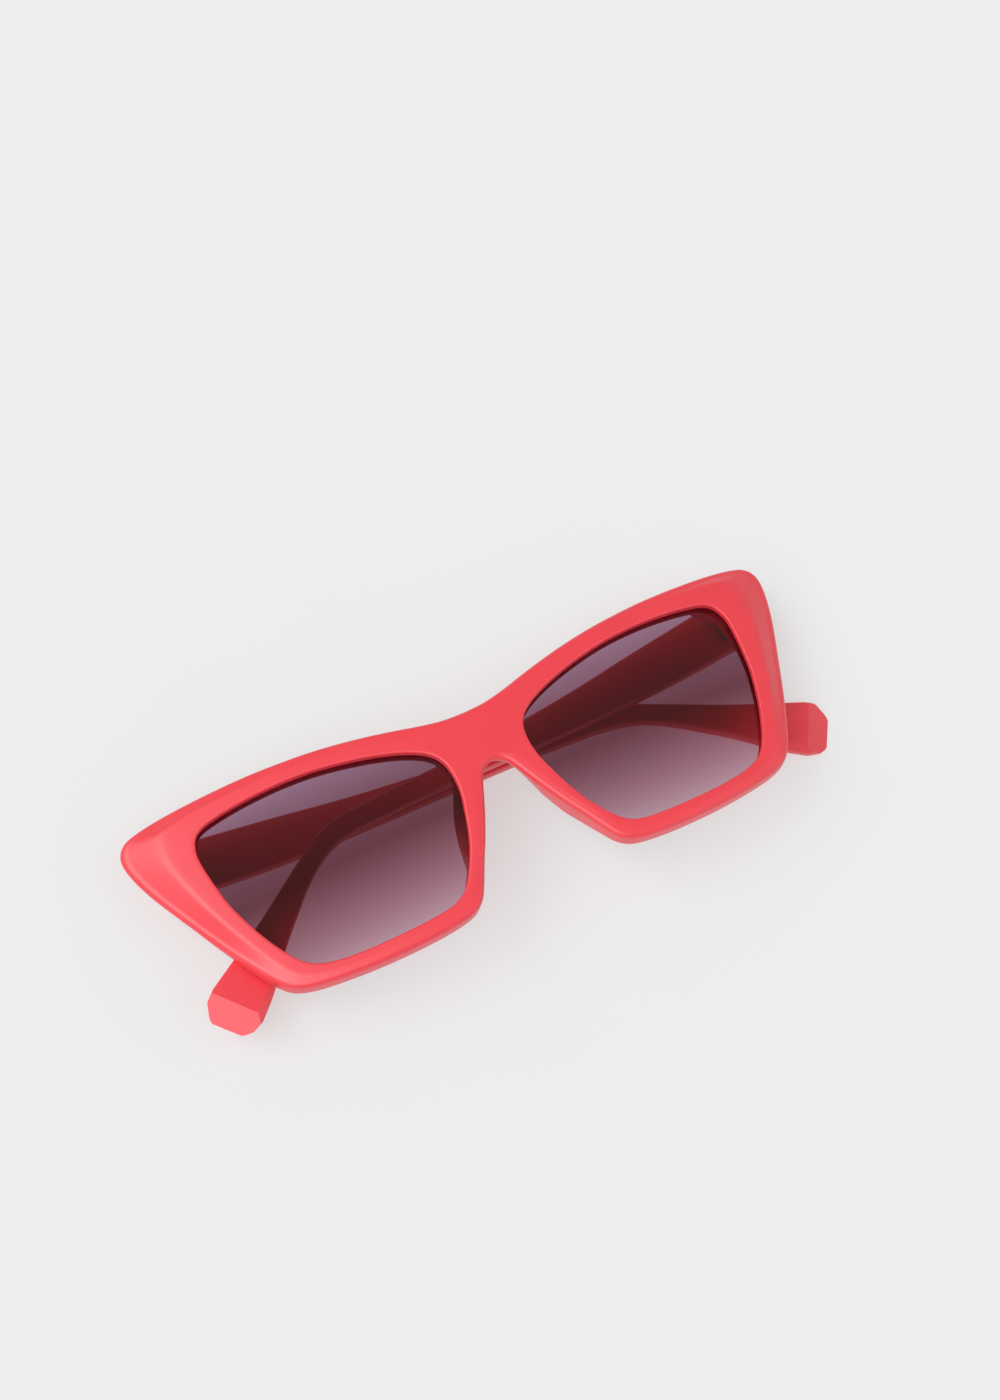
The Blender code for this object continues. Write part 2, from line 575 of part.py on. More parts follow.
def slope_cutter(kind, side_name, side, line, slope, cutters):
    """A block whose lower face leaves the inner face on this line and slopes down beyond it."""
    start, end = (turned_ear(point, EAR_TURN[side_name]) for point in line)
    along = Vector((-side * (end[0] - start[0]), end[1] - start[1], 0)).normalized()
    outward = Vector((along.y, -along.x, 0)) * side
    middle = Vector((-side * (start[0] + end[0]) / 2, (start[1] + end[1]) / 2, -TEMPLE_INNER))
    down = outward * math.cos(slope) - Vector((0, 0, 1)) * math.sin(slope)
    normal = outward * math.sin(slope) + Vector((0, 0, 1)) * math.cos(slope)
    bm = bmesh.new()
    bmesh.ops.create_cube(bm, size=1.0)
    bmesh.ops.scale(bm, vec=BLOCK, verts=bm.verts)
    bmesh.ops.translate(bm, vec=(0, BLOCK[1] / 2 - BLOCK_OVERLAP, BLOCK[2] / 2), verts=bm.verts)
    basis = Matrix((down.cross(normal), down, normal)).transposed().to_4x4()
    bmesh.ops.transform(bm, matrix=Matrix.Translation(middle) @ basis, verts=bm.verts)
    return as_cutter(mesh_object(f"cut_{kind}_{side_name}", bm, cutters, None), cutters)


def make_temple(side_name, side, parts, cutters, surface):
    """One temple, drawn about its hinge axis as it lies with the pair folded square."""
    name = f"temple_{side_name}"
    curve = temple_plate(name, side_name, side)
    temple = curve_to_mesh(name, curve, -TEMPLE_INNER - TEMPLE_THICK / 2, parts, surface)
    add_boolean(temple, slope_cutter("facet", side_name, side, FACET_LINE, FACET_SLOPE, cutters))
    add_boolean(temple, slope_cutter("chamfer", side_name, side, CHAMFER_LINE, CHAMFER_SLOPE, cutters))
    for index, y in enumerate(screw_heights()):
        x = -side * LEAF_SCREW_AT
        start, end = (x, y, -TEMPLE_INNER + 1), (x, y, -TEMPLE_INNER - TEMPLE_HOLE_DEPTH)
        hole = rod(f"cut_temple_{side_name}_{index}", SCREW_HOLE_R, start, end, cutters, sides=12)
        add_boolean(temple, as_cutter(hole, cutters))
    return temple


# ---------------------------------------------------------------- assembly


def hang(children, parent):
    """Parent objects to an empty without moving what is drawn about its origin."""
    for child in children:
        child.parent = parent


def empty(name, collection, place=(0, 0, 0), turn_y=0.0, parent=None):
    """An empty at a point in millimetres, turned about Y."""
    made = bpy.data.objects.new(name, None)
    made.location = [value * MM for value in place]
    made.rotation_euler = (0, turn_y, 0)
    made.parent = parent
    collection.objects.link(made)
    return made


def rest_on_ground(pair, parts):
    """Move the pair so that its box stands on Z = 0 with the middle of its base at the origin."""
    bpy.context.view_layer.update()
    graph = bpy.context.evaluated_depsgraph_get()
    corners = []
    for obj in parts.objects:
        if obj.type != "MESH":
            continue
        evaluated = obj.evaluated_get(graph)
        corners += [evaluated.matrix_world @ vert.co for vert in evaluated.data.vertices]
    low = [min(point[axis] for point in corners) for axis in range(3)]
    high = [max(point[axis] for point in corners) for axis in range(3)]
    pair.location = (-(low[0] + high[0]) / 2, -(low[1] + high[1]) / 2, -low[2])


def build():
    """Model the whole pair."""
    clear_scene()
    parts = new_collection("cat_eye_sunglasses")
    cutters = new_collection("cutters")
    cutters.hide_render = True
    coral = material("coral_plastic", CORAL, CORAL_ROUGHNESS)
    smoke = material("smoke_lens", SMOKE, SMOKE_ROUGHNESS)
    steel = material("hinge_steel", STEEL, STEEL_ROUGHNESS, 1.0)

    pair = empty("pair", parts, turn_y=-FOLD["right"])
    hang([make_front(parts, cutters, coral)], pair)
    for side_name, side in (("left", 1), ("right", -1)):
        lens = make_lens(side_name, side, parts, smoke)
        hang([lens], pair)
        axis = (side * HINGE_X, 0, HINGE_Z)
        fixed = empty(f"hinge_axis_{side_name}", parts, axis, 0.0, pair)
        moving = empty(f"hinge_turn_{side_name}", parts, axis, FOLD[side_name], pair)
        first_cutter = len(cutters.objects)
        fixed_pieces = [make_leaf("front", side_name, side, parts, cutters, steel)]
        fixed_pieces += make_leaf_screws("front", side_name, side, parts, steel)
        fixed_pieces.append(make_hinge_screw(side_name, parts, cutters, steel))
        second_cutter = len(cutters.objects)
        moving_pieces = [make_temple(side_name, side, parts, cutters, coral)]
        moving_pieces.append(make_leaf("temple", side_name, side, parts, cutters, steel))
        moving_pieces += make_leaf_screws("temple", side_name, side, parts, steel)
        made = list(cutters.objects)
        hang(fixed_pieces + made[first_cutter:second_cutter], fixed)
        hang(moving_pieces + made[second_cutter:], moving)
    hang([obj for obj in cutters.objects if obj.parent is None], pair)
    rest_on_ground(pair, parts)


build()
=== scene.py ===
"""Looks for the folded cat eye sunglasses: a matt coral front and temples, gradient lenses, steel hinges.

The front, lenses and temples are rebuilt as fine meshes and stand for the CAD nodes. They follow the CAD's
dimensions, apart from the nose pad's lip behind each lens and the facet's fade at the bridge. They are drawn
in millimetres in the pair's own frame (X across, Y to the brow, Z out of the front), which the matrix PAIR
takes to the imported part's frame. Left and right are the wearer's.
"""

import json
import math

import bmesh
import bpy
import numpy as np
from mathutils import Matrix, Vector


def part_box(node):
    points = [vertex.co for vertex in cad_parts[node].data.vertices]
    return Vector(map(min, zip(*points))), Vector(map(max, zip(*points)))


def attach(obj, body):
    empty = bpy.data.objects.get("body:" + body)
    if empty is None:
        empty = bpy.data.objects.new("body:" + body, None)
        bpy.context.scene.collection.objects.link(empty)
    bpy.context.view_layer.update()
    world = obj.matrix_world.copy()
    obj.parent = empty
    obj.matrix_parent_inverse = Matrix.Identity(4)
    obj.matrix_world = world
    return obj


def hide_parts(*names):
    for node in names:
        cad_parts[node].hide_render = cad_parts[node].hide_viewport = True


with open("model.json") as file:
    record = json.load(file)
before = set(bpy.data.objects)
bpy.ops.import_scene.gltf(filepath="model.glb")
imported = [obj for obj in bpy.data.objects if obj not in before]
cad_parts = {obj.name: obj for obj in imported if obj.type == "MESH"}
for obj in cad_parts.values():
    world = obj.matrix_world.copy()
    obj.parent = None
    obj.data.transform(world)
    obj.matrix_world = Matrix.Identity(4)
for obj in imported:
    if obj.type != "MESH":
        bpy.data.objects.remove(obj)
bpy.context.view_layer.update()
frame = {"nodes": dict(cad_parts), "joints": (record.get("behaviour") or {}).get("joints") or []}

MM = 0.001
SIDES = (("left", 1), ("right", -1))

# ---------------------------------------------------------------- dimensions, in millimetres

# Front: a shallow wrap, as the sagitta's curvature across and up the face (1/mm)
WRAP_X, WRAP_Y = 0.00313, 0.00052
RIM_DEPTH = 4.5          # front face to back face
BACK_RISE = 0.35         # share of the edge's drop by which its back is thinned
PAD_DEPTH = 8.2          # front face to the back of the nose pads
INNER_EDGE = 0.45        # rounding of the edge round each lens
OUTER_EDGE = 1.1         # rounding of the outer edge, front
BACK_EDGE = 0.6          # rounding of the outer edge, back
ENDPIECE_BACK = -13.9    # flat face that the temples butt against
CREST_WIDTH = 0.05       # softness of the face's break, as a share of the face's width
SEAM_BLEND = 4.0         # the facet's drop fades in over this distance from the middle of the bridge
FRONT_MIDDLE = 1.075     # the pair's origin above the middle of the front's height

# The lip behind the lens, and the nose pad's share in it
LIP_EDGE, LIP_WIDTH = 0.35, 0.9     # its rounding and its width
PAD_LIP = 1.7            # how far the pad reaches behind the lens
PAD_SLOPE = 2.2          # how much deeper the lip is at the pad than along the rim
PAD_RISE = 0.2           # how far the pad's inner side stands above its back
LIP_UP_TO_X = 14.5       # the pad's lip lies on the nasal side of this
LIP_MIDDLE, LIP_HALF = -5.5, 8.5    # height of its middle, and half its length

# Lens and the groove that holds it, as depths behind the front face
GROOVE_FRONT, GROOVE_BACK = 1.45, 3.85
GROOVE_FLOOR, GROOVE_CORNER = 0.9, 0.35
LENS_FRONT, LENS_THICK = 1.75, 1.8
LENS_IN_GROOVE = 0.6     # how far the lens reaches past the opening
LENS_CROWN = 0.5         # how far its middle bulges forward
LENS_BEVEL = 0.35
LENS_RINGS = (0.12, 0.25, 0.4, 0.55, 0.7, 0.82, 0.92, 0.985)    # shares of the way from middle to edge

# Hinges and temples
HINGE_X, HINGE_Z = 66.8, -15.4      # the hinge axes
FOLD = {"left": 0.050, "right": 0.018}      # each folded temple's turn about +Y, in radians
TEMPLE_INNER = 1.5       # hinge axis to the temple's inner face
TEMPLE_THICK, TEMPLE_EDGE = 3.0, 0.7        # the plate, and the rounding of its edges
EAR_PIVOT, EAR_BLEND = (98.0, 7.2), 12.0    # where the ear end bends, and over what length
EAR_TURN = {"left": 4.0, "right": -4.0}     # degrees more than the outline has

# (lens opening, outer edge, share of the way where the face breaks, drop of the edge, endpiece, pad, and how
# far the wall leans in under the edge)
SIDE_STATIONS = (
    ((8.6, 2.6), (0.0, 2.95), 0.60, 0.15, 0.0, 0.0, 0.95),
    ((8.8, 0.4), (1.45, 2.5), 0.60, 0.15, 0.0, 0.0, 1.0),
    ((9.2, -1.6), (2.75, 1.4), 0.60, 0.15, 0.0, 0.15, 1.2),
    ((9.8, -3.6), (3.8, -0.6), 0.60, 0.15, 0.0, 0.4, 1.45),
    ((10.6, -6.2), (5.0, -3.3), 0.60, 0.15, 0.0, 0.75, 1.6),
    ((11.5, -8.8), (6.65, -6.8), 0.60, 0.15, 0.0, 1.0, 1.35),
    ((13.0, -12.2), (8.8, -11.0), 0.60, 0.15, 0.0, 1.0, 1.0),
    ((15.2, -15.9), (11.2, -15.2), 0.60, 0.15, 0.0, 0.75, 0.7),
    ((17.3, -18.6), (13.3, -19.05), 0.60, 0.15, 0.0, 0.35, 0.35),
    ((19.3, -20.1), (15.15, -22.0), 0.60, 0.15, 0.0, 0.1, 0.15),
    ((21.2, -20.75), (17.4, -23.6), 0.62, 0.15, 0.0, 0.0, 0.0),
    ((23.8, -21.1), (20.7, -24.4), 0.62, 0.15, 0.0, 0.0, 0.0),
    ((28.0, -21.3), (26.0, -24.8), 0.62, 0.15, 0.0, 0.0, 0.0),
    ((34.0, -21.25), (33.0, -24.8), 0.62, 0.15, 0.0, 0.0, 0.0),
    ((40.0, -20.95), (40.0, -24.4), 0.62, 0.15, 0.0, 0.0, 0.0),
    ((45.7, -20.15), (47.0, -23.55), 0.62, 0.15, 0.0, 0.0, 0.0),
    ((49.3, -18.95), (51.8, -22.6), 0.60, 0.2, 0.0, 0.0, 0.0),
    ((51.6, -17.3), (55.3, -21.15), 0.57, 0.3, 0.0, 0.0, 0.0),
    ((53.3, -15.0), (57.8, -18.55), 0.55, 0.5, 0.0, 0.0, 0.0),
    ((54.9, -12.0), (60.15, -14.55), 0.54, 0.9, 0.0, 0.0, 0.0),
    ((56.6, -8.2), (62.45, -10.15), 0.52, 1.4, 0.0, 0.0, 0.0),
    ((58.0, -4.2), (64.85, -5.15), 0.52, 1.8, 0.0, 0.0, 0.0),
    ((59.2, 0.0), (67.2, 0.1), 0.51, 2.1, 0.05, 0.0, 0.1),
    ((59.9, 4.6), (69.35, 4.95), 0.51, 2.3, 0.5, 0.0, 0.7),
    ((60.3, 8.6), (71.2, 9.4), 0.50, 2.5, 1.0, 0.0, 1.4),
    ((60.3, 11.8), (72.65, 13.8), 0.49, 2.6, 1.0, 0.0, 1.4),
    ((59.5, 14.3), (73.35, 17.45), 0.49, 2.6, 1.0, 0.0, 1.4),
    ((58.5, 15.5), (73.05, 19.9), 0.51, 2.5, 1.0, 0.0, 1.4),
    ((57.2, 16.2), (71.6, 21.6), 0.56, 2.3, 0.95, 0.0, 1.3),
    ((55.8, 16.6), (69.0, 22.35), 0.61, 1.9, 0.6, 0.0, 0.8),
    ((54.1, 16.85), (64.6, 22.65), 0.66, 1.4, 0.2, 0.0, 0.3),
    ((51.4, 17.15), (59.0, 22.65), 0.68, 0.9, 0.0, 0.0, 0.0),
    ((46.5, 17.4), (52.0, 22.45), 0.68, 0.5, 0.0, 0.0, 0.0),
    ((41.0, 17.35), (45.0, 22.1), 0.66, 0.25, 0.0, 0.0, 0.0),
    ((36.0, 17.0), (38.5, 21.5), 0.64, 0.15, 0.0, 0.0, 0.0),
    ((31.2, 16.35), (32.0, 20.75), 0.62, 0.15, 0.0, 0.0, 0.0),
    ((25.4, 15.1), (25.0, 19.55), 0.62, 0.15, 0.0, 0.0, 0.0),
    ((20.5, 13.75), (19.0, 18.25), 0.62, 0.15, 0.0, 0.0, 0.0),
    ((16.6, 12.4), (14.0, 17.0), 0.62, 0.15, 0.0, 0.0, 0.0),
    ((13.8, 11.15), (9.0, 15.7), 0.62, 0.15, 0.0, 0.0, 0.0),
    ((12.5, 10.4), (4.5, 14.85), 0.62, 0.15, 0.0, 0.0, 0.0),
    ((11.3, 9.6), (0.0, 14.55), 0.62, 0.15, 0.0, 0.0, 0.0),
)
DROP, ENDPIECE, PAD = 3, 4, 5       # columns of a fine row, which holds a station's values after its opening

# (lens opening, height on the plane between the two halves) where the rim runs into the bridge
BRIDGE_STATIONS = (
    ((10.1, 8.4), 10.9),
    ((9.1, 6.6), 8.1),
    ((8.7, 4.7), 5.6),
)

# A temple's outline, from its hinge axis towards its ear end, and its height
TEMPLE_TOP = (
    (-1.1, 19.7), (6.0, 19.3), (15.0, 18.1), (26.0, 16.5), (40.0, 14.3), (52.0, 12.8), (66.0, 11.4),
    (80.0, 10.5), (92.0, 9.8), (98.5, 9.1), (103.5, 7.6), (109.0, 4.7), (115.5, 1.0), (124.0, -3.7),
)
TEMPLE_END = (
    (136.9, -10.2), (139.0, -11.8), (140.6, -15.8), (136.5, -20.9), (134.0, -21.2), (131.4, -20.3),
)
TEMPLE_BOTTOM = (
    (127.0, -16.7), (119.8, -9.5), (114.0, -4.4), (109.0, -0.3), (104.0, 2.8), (98.0, 4.7), (88.0, 5.6),
    (74.0, 6.1), (58.0, 6.2), (42.0, 6.4), (26.0, 6.8), (12.0, 7.8), (5.0, 8.5), (-1.1, 8.9),
)
FACET_LINE, FACET_SLOPE = ((136.6, -12.3), (130.9, -20.1)), math.radians(32.0)
CHAMFER_LINE, CHAMFER_SLOPE = ((131.4, -18.6), (114.0, -4.9)), math.radians(40.0)
EAR_END_FROM = 112.0     # the chamfer touches the plate only past this distance from the hinge axis

# Fineness of the meshes
ROWS_BETWEEN = 6         # fine rows between two stations of the front
LENS_ROWS_BETWEEN = 4    # the same round a lens
FACE_SHARES = np.linspace(0, 1, 18)[1:]     # points across the face, as shares of its width
QUARTER_SHARES = (0.25, 0.5, 0.75)          # points between the ends of a wall or a back
LIP_ROWS, INNER_ROWS, OUTER_ROWS, BACK_ROWS = 5, 6, 7, 5    # points round each edge's rounding
WALL_POINTS = OUTER_ROWS - 1 + len(QUARTER_SHARES) + BACK_ROWS      # from the face's end to the back's
CURVE_STEPS, BEVEL_STEPS = 10, 3            # steps along a temple's outline, and round its edge
ON_MIDDLE = 1e-6         # a vertex this near the plane between the halves lies on it
SEAM_WELD, CURVE_WELD = 1e-4, 0.005         # gaps that are welded
FRONT_SHARP_FROM = math.radians(50)         # edges that bend more than this are shaded sharp
LENS_SHARP_FROM = math.radians(30)
TEMPLE_SHARP_FROM = math.radians(28)

# ---------------------------------------------------------------- looks

WHITE = (1, 1, 1, 1)

# Noises: scale (per mm), detail and, where it differs from the usual, roughness
CORAL_MOTTLE, CORAL_GRAIN = (0.12, 3.0), (7.0, 2.0, 0.6)
STEEL_GRAIN = (3.0, 4.0)
FLOOR_MOTTLE = (0.02, 2.0)

# Colours, as (position, colour) stops
CORAL_STOPS = ((0.35, (0.82, 0.032, 0.049)), (0.65, (0.85, 0.036, 0.055)))
STEEL_STOPS = ((0.3, (0.50, 0.49, 0.47)), (0.7, (0.62, 0.61, 0.59)))
FLOOR_STOPS = ((0.0, (0.302, 0.302, 0.302)), (1.0, (0.312, 0.312, 0.312)))
# Tint of one of the lens's two faces, by height: light passes both. The stops at 0.5 and 0.75 are darker
# than the top one: painted shade, standing in for the shadow that the temples and rim cast on the floor
# under the lens
LENS_TINT_AND_SHADE_STOPS = (
    (0.0, (0.84, 0.71, 0.76)),
    (0.22, (0.675, 0.48, 0.55)),
    (0.5, (0.445, 0.25, 0.305)),
    (0.75, (0.51, 0.355, 0.43)),
    (1.0, (0.63, 0.48, 0.59)),
)
LENS_LOW, LENS_HIGH = -22.0, 20.0       # heights of the first and last stop, in mm
LENS_ROUGHNESS, LENS_IOR = 0.03, 1.42

CORAL_ROUGHNESS, STEEL_ROUGHNESS = (0.35, 0.43), (0.22, 0.38)
CORAL_BUMP, STEEL_BUMP = (0.012, 0.25), (0.01, 0.3)     # distance in mm, and strength
CORAL_SPECULAR = 0.85
CORAL_SHEEN, CORAL_SHEEN_ROUGHNESS = 0.03, 0.5
FLOOR_GLOW, FLOOR_ROUGHNESS, FLOOR_SPECULAR = 0.52, 0.9, 0.1

# ---------------------------------------------------------------- camera and light

CAMERA_AT = (-169.56, -174.46, 562.84)  # in mm, as is the point it looks at
CAMERA_AIM = (9.41, 17.86, 11.88)
CAMERA_ROLL = math.radians(16.345)
CAMERA_CLIP = (0.01, 10)                # in metres
LENS_LENGTH = 77.14      # on the default 36 mm sensor, along the picture's long side
FLOOR_HALF = 12.0        # half the floor's side, in metres

# (name, direction towards the light, strength, angle across in degrees)
SUNS = (
    ("key", (-0.58, 0.38, 0.72), 0.8, 36),
    ("side", (-0.56, -0.15, 0.81), 1.4, 50),
    ("fill", (0.70, -0.42, 0.58), 0.4, 60),
)
SURROUND = 0.46          # strength of the white surround

# ---------------------------------------------------------------- helpers


def pair_matrix():
    """Takes millimetres in the pair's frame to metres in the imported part's frame, by the joints' axes."""
    joints = {joint["name"]: joint for joint in frame["joints"]}
    right = Vector(joints["right_hinge"]["pos_m"])
    left = Vector(joints["left_hinge"]["pos_m"])
    tilt = math.atan2(left.z - right.z, left.x - right.x)
    turn = Matrix.Rotation(-tilt, 4, "Y")
    middle = (left + right) / 2
    middle.y = (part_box("front_frame")[0].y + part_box("front_frame")[1].y) / 2 + FRONT_MIDDLE * MM
    to_axes = Matrix.Translation((0, 0, -HINGE_Z * MM))
    return Matrix.Translation(middle) @ turn @ to_axes @ Matrix.Scale(MM, 4)


PAIR = pair_matrix()


def face_z(x, y):
    """Height of the front face over the point (x, y)."""
    return -WRAP_X * x * x / 2 - WRAP_Y * y * y / 2


def smooth(share):
    """An S-shaped ramp from 0 to 1."""
    share = min(max(share, 0.0), 1.0)
    return share * share * (3 - 2 * share)


def spline(points, per_step, closed):
    """Points on a Catmull-Rom curve through the given rows, per_step to each stretch."""
    rows = np.array(points, float)
    if closed:
        padded = np.vstack([rows[-1], rows, rows[0], rows[1]])
        stretches = len(rows)
    else:
        padded = np.vstack([2 * rows[0] - rows[1], rows, 2 * rows[-1] - rows[-2]])
        stretches = len(rows) - 1
    t = np.arange(per_step)[:, None] / per_step
    made = []
    for k in range(stretches):
        a, b, c, d = padded[k:k + 4]
        square = 2 * a - 5 * b + 4 * c - d
        cube = 3 * b - a - 3 * c + d
        made.append(0.5 * (2 * b + (c - a) * t + square * t**2 + cube * t**3))
    made = np.vstack(made)
    return made if closed else np.vstack([made, rows[-1]])


def left_normals(points, closed):
    """Unit vectors to the left of the walk along an outline."""
    if closed:
        along = np.roll(points, -1, axis=0) - np.roll(points, 1, axis=0)
    else:
        along = np.gradient(points, axis=0)
    normals = np.stack([-along[:, 1], along[:, 0]], axis=1)
    return normals / np.linalg.norm(normals, axis=1)[:, None]


def opening_curve(per_step):
    """The outline of the lens opening, as a closed curve."""
    stations = [s[0] for s in SIDE_STATIONS] + [opening for opening, _ in BRIDGE_STATIONS]
    return spline(stations, per_step, closed=True)


def everything(bm):
    """All of a bmesh's geometry, as its operators take it."""
    return list(bm.verts) + list(bm.edges) + list(bm.faces)


def mesh_piece(name, bm, body, replaces, surface, sharp):
    """A finished piece from a bmesh drawn in millimetres in the pair's frame."""
    bmesh.ops.transform(bm, matrix=PAIR, verts=bm.verts)
    mesh = bpy.data.meshes.new(name)
    bm.to_mesh(mesh)
    bm.free()
    mesh.materials.append(surface)
    mesh.shade_smooth()
    mesh.set_sharp_from_angle(angle=sharp)
    piece = bpy.data.objects.new(name, mesh)
    bpy.context.scene.collection.objects.link(piece)
    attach(piece, body)
    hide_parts(*replaces)
    return piece


# ---------------------------------------------------------------- materials


def shader_nodes(name):
    """A new material with its Principled shader and its object-space coordinates in millimetres."""
    made = bpy.data.materials.new(name)
    made.use_nodes = True
    tree = made.node_tree
    shader = tree.nodes["Principled BSDF"]
    place = tree.nodes.new("ShaderNodeTexCoord")
    scale = tree.nodes.new("ShaderNodeVectorMath")
    scale.operation = "SCALE"
    scale.inputs["Scale"].default_value = 1 / MM
    tree.links.new(place.outputs["Object"], scale.inputs[0])
    return made, tree, shader, scale.outputs[0]


def noise(tree, coordinates, scale, detail, roughness=0.5):
    """A noise texture read in millimetres."""
    node = tree.nodes.new("ShaderNodeTexNoise")
    node.inputs["Scale"].default_value = scale
    node.inputs["Detail"].default_value = detail
    node.inputs["Roughness"].default_value = roughness
    tree.links.new(coordinates, node.inputs["Vector"])
    return node.outputs["Fac"]


def ramp(tree, factor, stops):
    """A colour ramp with the given (position, colour) stops."""
    node = tree.nodes.new("ShaderNodeValToRGB")
    elements = node.color_ramp.elements
    while len(elements) < len(stops):
        elements.new(0.5)
    for element, (position, colour) in zip(elements, stops):
        element.position = position
        element.color = (*colour, 1.0)
    tree.links.new(factor, node.inputs["Fac"])
    return node.outputs["Color"]


def uneven_roughness(tree, factor, limits, shader):
    """Roughness that follows a noise between two limits."""
    node = tree.nodes.new("ShaderNodeMapRange")
    node.inputs["To Min"].default_value, node.inputs["To Max"].default_value = limits
    tree.links.new(factor, node.inputs["Value"])
    tree.links.new(node.outputs["Result"], shader.inputs["Roughness"])


def bump(tree, height, distance, strength, shader):
    """Bump from a height map, its distance in millimetres."""
    node = tree.nodes.new("ShaderNodeBump")
    node.inputs["Strength"].default_value = strength
    node.inputs["Distance"].default_value = distance * MM
    tree.links.new(height, node.inputs["Height"])
    tree.links.new(node.outputs["Normal"], shader.inputs["Normal"])


def arithmetic(tree, operation, *values):
    """The result of a Math node on these values, each a number or another node's output."""
    node = tree.nodes.new("ShaderNodeMath")
    node.operation = operation
    for socket, value in zip(node.inputs, values):
        if isinstance(value, float):
            socket.default_value = value
        else:
            tree.links.new(value, socket)
    return node.outputs[0]


def coral_plastic():
    """Matt soft-touch plastic: a fine bead-blasted grain and a faint mottle in its colour."""
    made, tree, shader, at = shader_nodes("coral_soft_touch")
    colour = ramp(tree, noise(tree, at, *CORAL_MOTTLE), CORAL_STOPS)
    tree.links.new(colour, shader.inputs["Base Color"])
    grain = noise(tree, at, *CORAL_GRAIN)
    uneven_roughness(tree, grain, CORAL_ROUGHNESS, shader)
    bump(tree, grain, *CORAL_BUMP, shader)
    shader.inputs["Specular IOR Level"].default_value = CORAL_SPECULAR
    shader.inputs["Sheen Weight"].default_value = CORAL_SHEEN
    shader.inputs["Sheen Roughness"].default_value = CORAL_SHEEN_ROUGHNESS
    return made


def shaded_lens_colour(tree, at):
    """The lens's tint at each height, with painted shade in a band across its middle."""
    split = tree.nodes.new("ShaderNodeSeparateXYZ")
    tree.links.new(at, split.inputs[0])
    height = tree.nodes.new("ShaderNodeMapRange")
    height.inputs["From Min"].default_value = LENS_LOW
    height.inputs["From Max"].default_value = LENS_HIGH
    tree.links.new(split.outputs["Y"], height.inputs["Value"])
    return ramp(tree, height.outputs["Result"], LENS_TINT_AND_SHADE_STOPS)


def tinted_lens_with_painted_shade():
    """Gradient sun lens: a clear sheet that tints what is behind it, glossy where a ray enters it, and
    darker in a band across its middle with painted shade.
    """
    made, tree, shader, at = shader_nodes("gradient_lens_with_painted_shade")
    tree.nodes.remove(shader)
    through = tree.nodes.new("ShaderNodeBsdfTransparent")
    # the tint by height, its middle band darkened as painted shade of the temples on the floor below
    tree.links.new(shaded_lens_colour(tree, at), through.inputs["Color"])
    gloss = tree.nodes.new("ShaderNodeBsdfGlossy")
    gloss.inputs["Roughness"].default_value = LENS_ROUGHNESS
    fresnel = tree.nodes.new("ShaderNodeFresnel")
    fresnel.inputs["IOR"].default_value = LENS_IOR
    side = tree.nodes.new("ShaderNodeNewGeometry")
    outside = arithmetic(tree, "SUBTRACT", 1.0, side.outputs["Backfacing"])
    share = arithmetic(tree, "MULTIPLY", fresnel.outputs[0], outside)
    mix = tree.nodes.new("ShaderNodeMixShader")
    tree.links.new(share, mix.inputs["Fac"])
    tree.links.new(through.outputs[0], mix.inputs[1])
    tree.links.new(gloss.outputs[0], mix.inputs[2])
    output = next(node for node in tree.nodes if node.type == "OUTPUT_MATERIAL")
    tree.links.new(mix.outputs[0], output.inputs["Surface"])
    return made


def hinge_steel():
    """Turned and tumbled steel of the hinge leaves and screws."""
    made, tree, shader, at = shader_nodes("hinge_steel")
    grain = noise(tree, at, *STEEL_GRAIN)
    tree.links.new(ramp(tree, grain, STEEL_STOPS), shader.inputs["Base Color"])
    shader.inputs["Metallic"].default_value = 1.0
    uneven_roughness(tree, grain, STEEL_ROUGHNESS, shader)
    bump(tree, grain, *STEEL_BUMP, shader)
    return made


def floor_paint():
    """Pale seamless studio floor with a glow of its own, as a light table has."""
    made, tree, shader, at = shader_nodes("pale_floor")
    colour = ramp(tree, noise(tree, at, *FLOOR_MOTTLE), FLOOR_STOPS)
    tree.links.new(colour, shader.inputs["Base Color"])
    shader.inputs["Emission Color"].default_value = WHITE
    shader.inputs["Emission Strength"].default_value = FLOOR_GLOW
    shader.inputs["Roughness"].default_value = FLOOR_ROUGHNESS
    shader.inputs["Specular IOR Level"].default_value = FLOOR_SPECULAR
    return made


# ---------------------------------------------------------------- front


def quarter(count):
    """Angles of a quarter turn, for a rounded edge."""
    return np.linspace(0, math.pi / 2, count)


def fine_stations():
    """Fine rows of openings, of the stations' other values, and the bridge's heights."""
    side = spline([(*s[1], *s[2:]) for s in SIDE_STATIONS], ROWS_BETWEEN, closed=False)
    side[:, DROP:] = np.maximum(side[:, DROP:], 0)
    side[:, ENDPIECE:PAD + 1] = np.minimum(side[:, ENDPIECE:PAD + 1], 1)
    side[:, DROP] *= np.minimum(side[:, 0] / SEAM_BLEND, 1)
    last_y = SIDE_STATIONS[-1][1][1] - OUTER_EDGE
    first_y = SIDE_STATIONS[0][1][1] + OUTER_EDGE
    heights = [(0, last_y)] + [(0, y) for _, y in BRIDGE_STATIONS] + [(0, first_y)]
    bridge = spline(heights, ROWS_BETWEEN, closed=False)[1:-1]
    return opening_curve(ROWS_BETWEEN), side, bridge[:, 1]


def lip_share(x, y):
    """How much of the pad's lip there is here: a crescent on the nasal side of the opening."""
    if x > LIP_UP_TO_X:
        return 0.0
    return max(0.0, 1 - ((y - LIP_MIDDLE) / LIP_HALF) ** 2)


